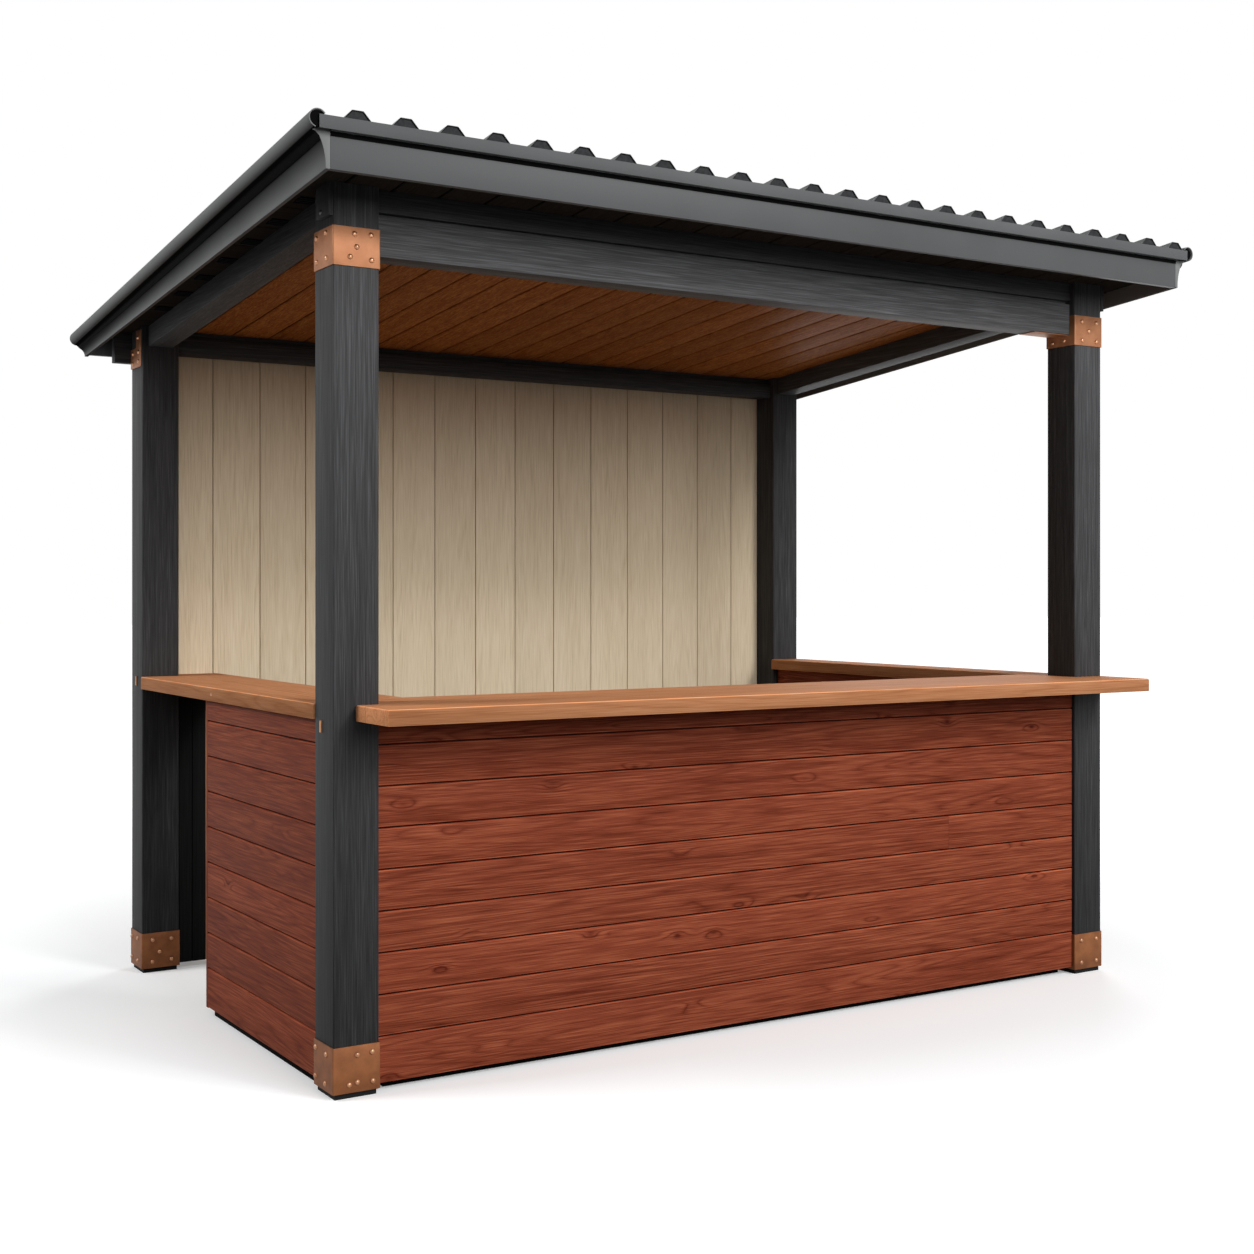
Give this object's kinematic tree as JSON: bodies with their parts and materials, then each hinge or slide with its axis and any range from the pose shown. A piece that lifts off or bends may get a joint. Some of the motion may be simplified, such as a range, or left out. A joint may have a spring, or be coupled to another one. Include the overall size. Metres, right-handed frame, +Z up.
{
  "type": "wooden market stall",
  "caption": "Open-fronted timber market stall with a low-pitched ribbed roof on square posts, a boarded back wall, half walls and a counter on three sides.",
  "frame": {"origin": "on the ground, under the middle of the roof's rectangle", "axes": "+X along the front, to the right of someone who faces the front counter; +Y to the back wall; +Z up"},
  "size_m": [3.354, 2.41, 2.6352],
  "materials": {
    "charcoal_timber": "charcoal stain on planed softwood, matt",
    "copper_plate": "satin copper plate, a little darkened",
    "wall_boards": "red-brown stain on planed boards, satin",
    "wall_framing": "plain sawn softwood",
    "back_boards": "pale limed boards, matt",
    "counter_timber": "oiled timber, satin",
    "ceiling_timber": "brown oiled boards, satin",
    "edge_boards": "grey paint on planed timber, satin",
    "roof_metal": "charcoal grey coated steel, satin",
    "pad_rubber": "black rubber, matt"
  },
  "bodies": {
    "root": {"post_front_left": "charcoal_timber", "post_front_right": "charcoal_timber", "post_back_left": "charcoal_timber", "post_back_right": "charcoal_timber", "front_beam": "charcoal_timber", "front_frieze": "charcoal_timber", "side_beams": "charcoal_timber", "back_beam": "charcoal_timber", "post_cheeks": "charcoal_timber", "back_ledger": "charcoal_timber", "counter_gable": "charcoal_timber", "soffit_ends": "charcoal_timber", "soffit_sides": "charcoal_timber", "base_shoe_front_left": "copper_plate", "base_shoe_front_right": "copper_plate", "base_shoe_back_left": "copper_plate", "base_shoe_back_right": "copper_plate", "top_collar_front_left": "copper_plate", "top_collar_front_right": "copper_plate", "top_collar_back_left": "copper_plate", "top_collar_back_right": "copper_plate", "front_wall_cladding": "wall_boards", "front_wall_lining": "wall_boards", "left_wall_cladding": "wall_boards", "left_wall_lining": "wall_boards", "right_wall_cladding": "wall_boards", "right_wall_lining": "wall_boards", "left_wall_end_board": "wall_boards", "front_wall_frame": "wall_framing", "left_wall_frame": "wall_framing", "right_wall_frame": "wall_framing", "purlins": "wall_framing", "back_wall": "back_boards", "counter_front": "counter_timber", "counter_left": "counter_timber", "counter_right": "counter_timber", "ceiling_boards": "ceiling_timber", "counter_upright": "ceiling_timber", "fascia_front": "edge_boards", "fascia_back": "edge_boards", "rake_left": "edge_boards", "rake_right": "edge_boards", "roof_sheet": "roof_metal", "front_flashing": "roof_metal", "foot_pads": "pad_rubber"}
  },
  "joints": []
}
